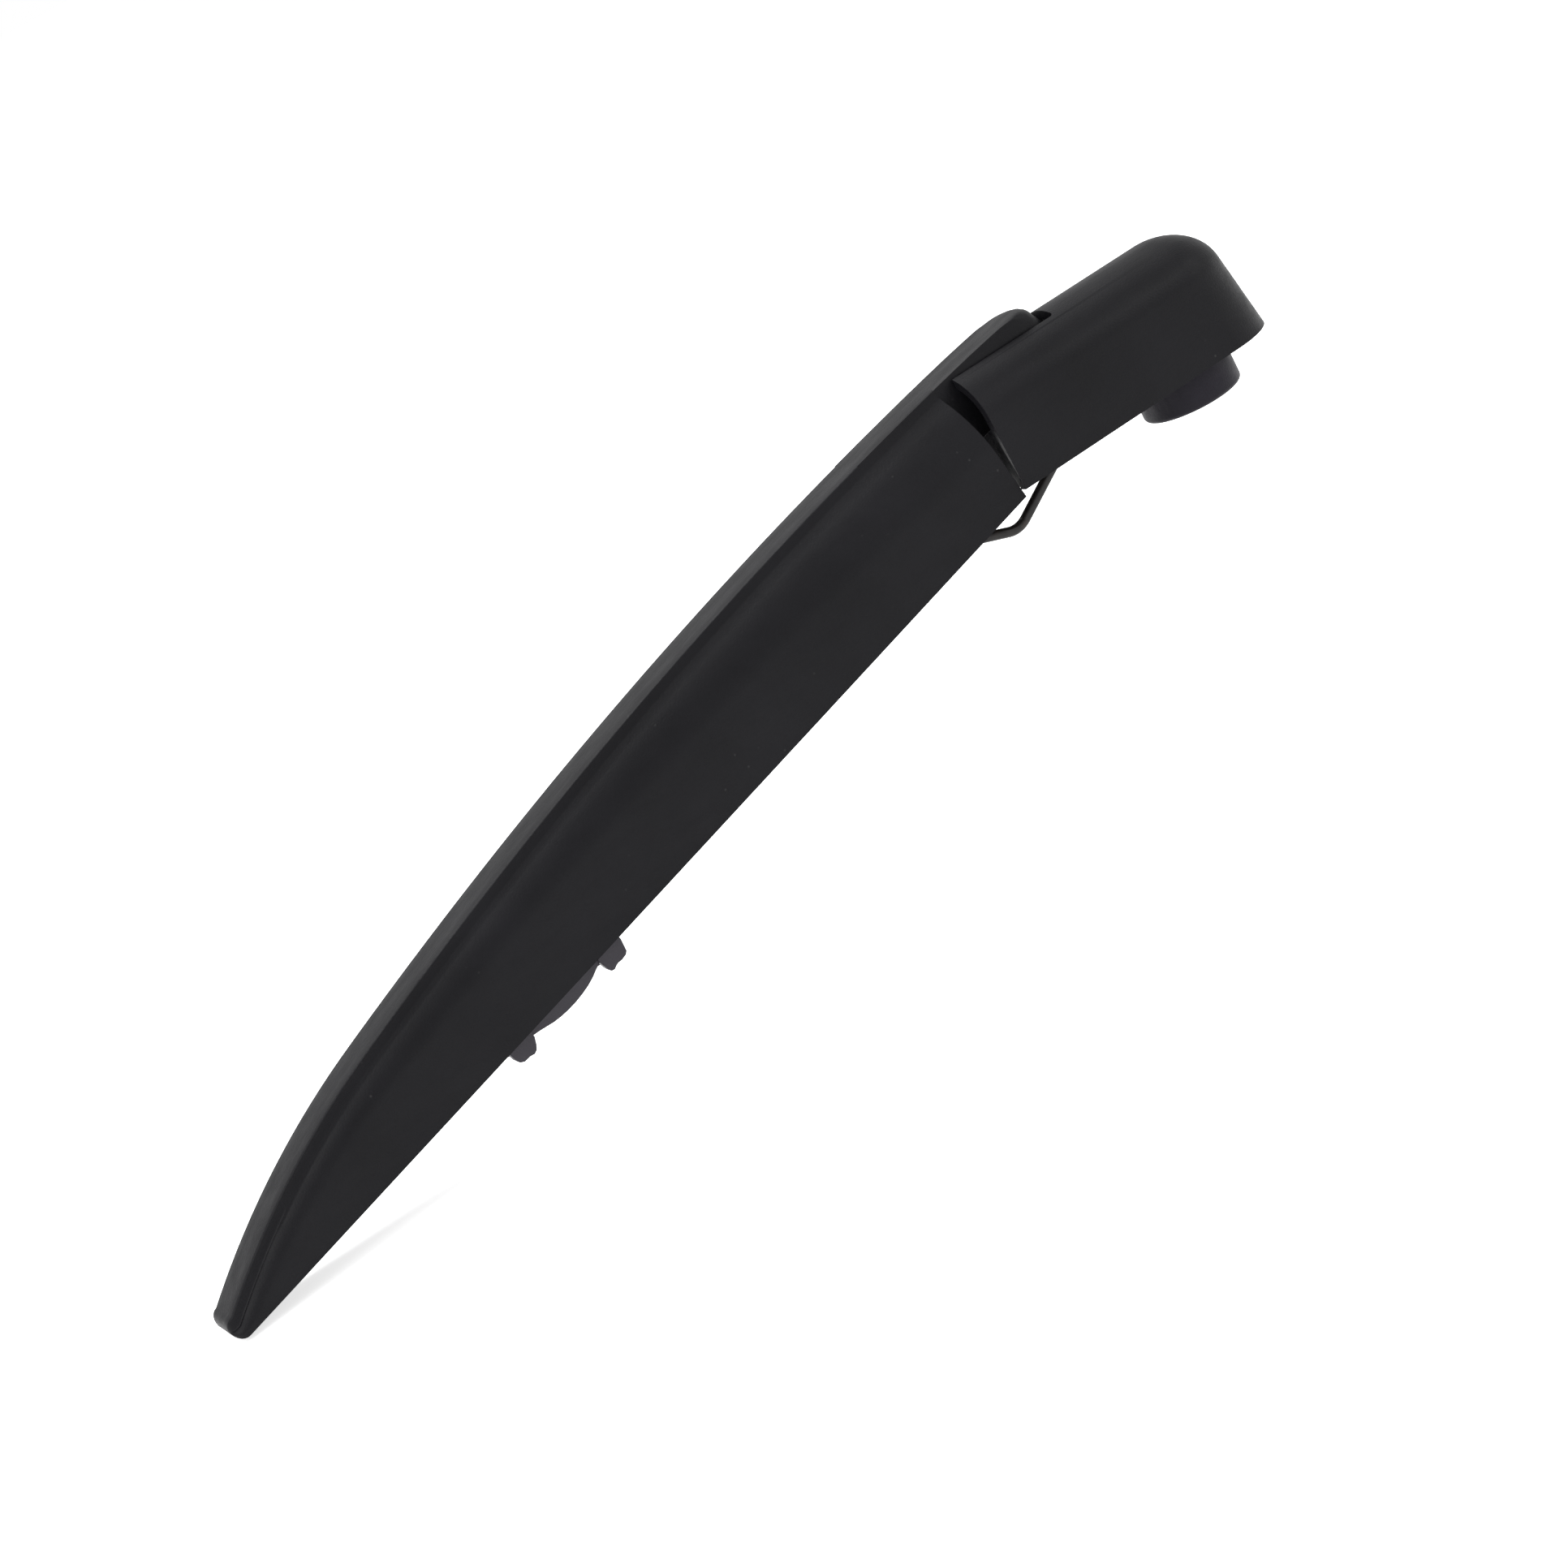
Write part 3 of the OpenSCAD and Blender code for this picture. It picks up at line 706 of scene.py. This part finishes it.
# a round section across the heading; its face ends the wire
def startWire(form, centre, along, radius, sides=20):
    made = bmesh.ops.create_circle(form, cap_ends=True, radius=radius * mm, segments=sides)
    turned = Vector((0, 0, 1)).rotation_difference(along).to_matrix().to_4x4()
    bmesh.ops.transform(form, verts=made["verts"], matrix=Matrix.Translation(centre * mm) @ turned)
    return list({f for v in made["verts"] for f in v.link_faces})


def drawOn(form, faces, shift):
    made = bmesh.ops.extrude_face_region(form, geom=faces)["geom"]
    bmesh.ops.translate(form, verts=vertsOf(made), vec=shift * mm)
    bmesh.ops.delete(form, geom=faces, context="FACES_ONLY")
    return facesOf(made)


def bendOn(form, faces, centre, turn, axis=(0, -1, 0), steps=12, climb=(0, 0, 0)):
    made = bmesh.ops.spin(form, geom=faces, cent=centre * mm, axis=axis, angle=math.radians(turn),
                          steps=steps, dvec=Vector(climb) * mm, use_normal_flip=False, use_merge=False)
    return facesOf(made["geom_last"])


# loop round the pin, straight leg, crank below the knuckle, eye in the spring's line
def makeSpringHook():
    turn = riseAngle - hook["legAngle"]
    cut = hook["crankRadius"] * math.tan(math.radians(turn / 2))
    leg = heading(hook["legAngle"])
    rise = heading(riseAngle)
    legEnd = crankAt - cut * leg
    tipAngle = hook["legAngle"] + 90 + hook["loopTurn"]
    form = bmesh.new()
    face = startWire(form, hookPinAt + loopRadius * heading(tipAngle), heading(tipAngle - 90), hook["wire"])
    face = bendOn(form, face, hookPinAt, -hook["loopTurn"], steps=40)
    face = drawOn(form, face, legEnd - hookStart)
    face = bendOn(form, face, legEnd + hook["crankRadius"] * heading(hook["legAngle"] + 90), turn)
    face = drawOn(form, face, linkEnd - crankAt - cut * rise)
    eyeFrom = angleTo(bendAt, eyeAt)
    face = bendOn(form, face, bendAt, eyeFrom - riseAngle - 90, steps=10)
    bendOn(form, face, eyeAt, hook["eyeTurn"], steps=48)
    addPiece("springHook", finishForm(form, "springHook"), "link", "coated_wire", "spring_hook")


def makeTensionSpring():
    axis = heading(angleTo(springFront, springBack))
    out = Vector((0, 1, 0))
    third = axis.cross(out)
    reach = (springBack - springFront).length
    backRadius = linkage["pinRadius"] + spring["wire"] + spring["pinGap"]
    coilFrom = hook["eyeRadius"] + spring["coilGap"]
    coilTo = reach - backRadius - spring["coilGap"]
    form = bmesh.new()
    start = springFront + coilFrom * axis + spring["coilRadius"] * out
    face = startWire(form, start, third, spring["wire"], 14)
    steps = spring["turns"] * spring["perTurn"]
    bendOn(form, face, springFront + coilFrom * axis, 360 * spring["turns"], axis, steps=steps,
           climb=axis * ((coilTo - coilFrom) / steps))
    for centre, radius, turnAxis, end in ((springFront, hook["eyeRadius"], third, 1),
                                          (springBack, backRadius, out, -1)):
        side = turnAxis.cross(axis * end)
        loop = startWire(form, centre - axis * radius * end, side, spring["wire"], 14)
        bendOn(form, loop, centre, spring["loopTurn"], turnAxis, steps=48)
    addPiece("tensionSpring", finishForm(form, "tensionSpring"), "link", "spring_steel", "tension_spring")


makeSpringHook()
makeTensionSpring()
print("wires drawn")


studio = {
    "floorSize": 60, "floorDrop": 0.001,   # metres; it lies just under the arm's tip
    "floorGlow": 0.69,    # brings the floor up to white in the picture
    "fill": 0.40,         # even light from all round
    "ceiling": 0.90,      # what gloss sees overhead, where 1 is white
    "aim": (0.13, 0, 0),
    "lamps": [            # place, size in metres, watts
        ((0.20, -0.30, 1.4), 1.2, 21),
        ((-0.75, 0.75, 0.6), 0.7, 4),
        ((0.85, 0.35, 0.6), 0.7, 4),
    ],
}


# 1 where a camera, glossy or clear ray looks, else 0
def cameraWhite(tree):
    path = tree.nodes.new("ShaderNodeLightPath")
    total = path.outputs["Is Camera Ray"]
    for other in ("Is Glossy Ray", "Is Transmission Ray"):
        add = mathNode(tree, "ADD", total, path.outputs[other])
        add.use_clamp = True
        total = add.outputs["Value"]
    return total


def makeFloor():
    form = bmesh.new()
    bmesh.ops.create_grid(form, x_segments=1, y_segments=1, size=studio["floorSize"] / 2)
    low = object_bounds()[0][2] - studio["floorDrop"]
    bmesh.ops.translate(form, verts=form.verts, vec=(0.15, 0, low))
    floor = bpy.data.objects.new("floor", meshFrom(form, "floor"))
    bpy.context.scene.collection.objects.link(floor)
    material, tree, shader = shaderSetup("paleFloor", Base_Color=(0.8, 0.8, 0.8, 1), Roughness=0.9,
                                         Specular_IOR_Level=0.0, Emission_Color=(1, 1, 1, 1))
    glow = mathNode(tree, "MULTIPLY", cameraWhite(tree), studio["floorGlow"])
    tree.links.new(glow.outputs["Value"], shader.inputs["Emission Strength"])
    floor.data.materials.append(material)


# an even white room; gloss sees its ceiling a little darker, the camera doesn't
def makeLight():
    world = bpy.data.worlds.new("studio")
    bpy.context.scene.world = world
    world.use_nodes = True
    tree = world.node_tree
    background = tree.nodes["Background"]
    background.inputs["Color"].default_value = (1, 1, 1, 1)
    coords = tree.nodes.new("ShaderNodeTexCoord")
    height = tree.nodes.new("ShaderNodeSeparateXYZ")
    tree.links.new(coords.outputs["Generated"], height.inputs["Vector"])
    path = tree.nodes.new("ShaderNodeLightPath")
    dimmed = spread(tree, height.outputs["Z"], 1.0, studio["ceiling"], 0.2, 0.75)
    overhead = mathNode(tree, "MAXIMUM", path.outputs["Is Camera Ray"], dimmed)
    level = spread(tree, cameraWhite(tree), studio["fill"], 1.0)
    tree.links.new(overhead.outputs["Value"], level.node.inputs["To Max"])
    tree.links.new(level, background.inputs["Strength"])
    aim = Vector(studio["aim"])
    for place, size, watts in studio["lamps"]:
        lamp = bpy.data.lights.new("softbox", "AREA")
        lamp.shape = "DISK"
        lamp.size = size
        lamp.energy = watts
        holder = bpy.data.objects.new("softbox", lamp)
        holder.location = place
        holder.rotation_euler = (aim - Vector(place)).to_track_quat("-Z", "Y").to_euler()
        bpy.context.scene.collection.objects.link(holder)


makeFloor()
makeLight()
print("floor and light set")
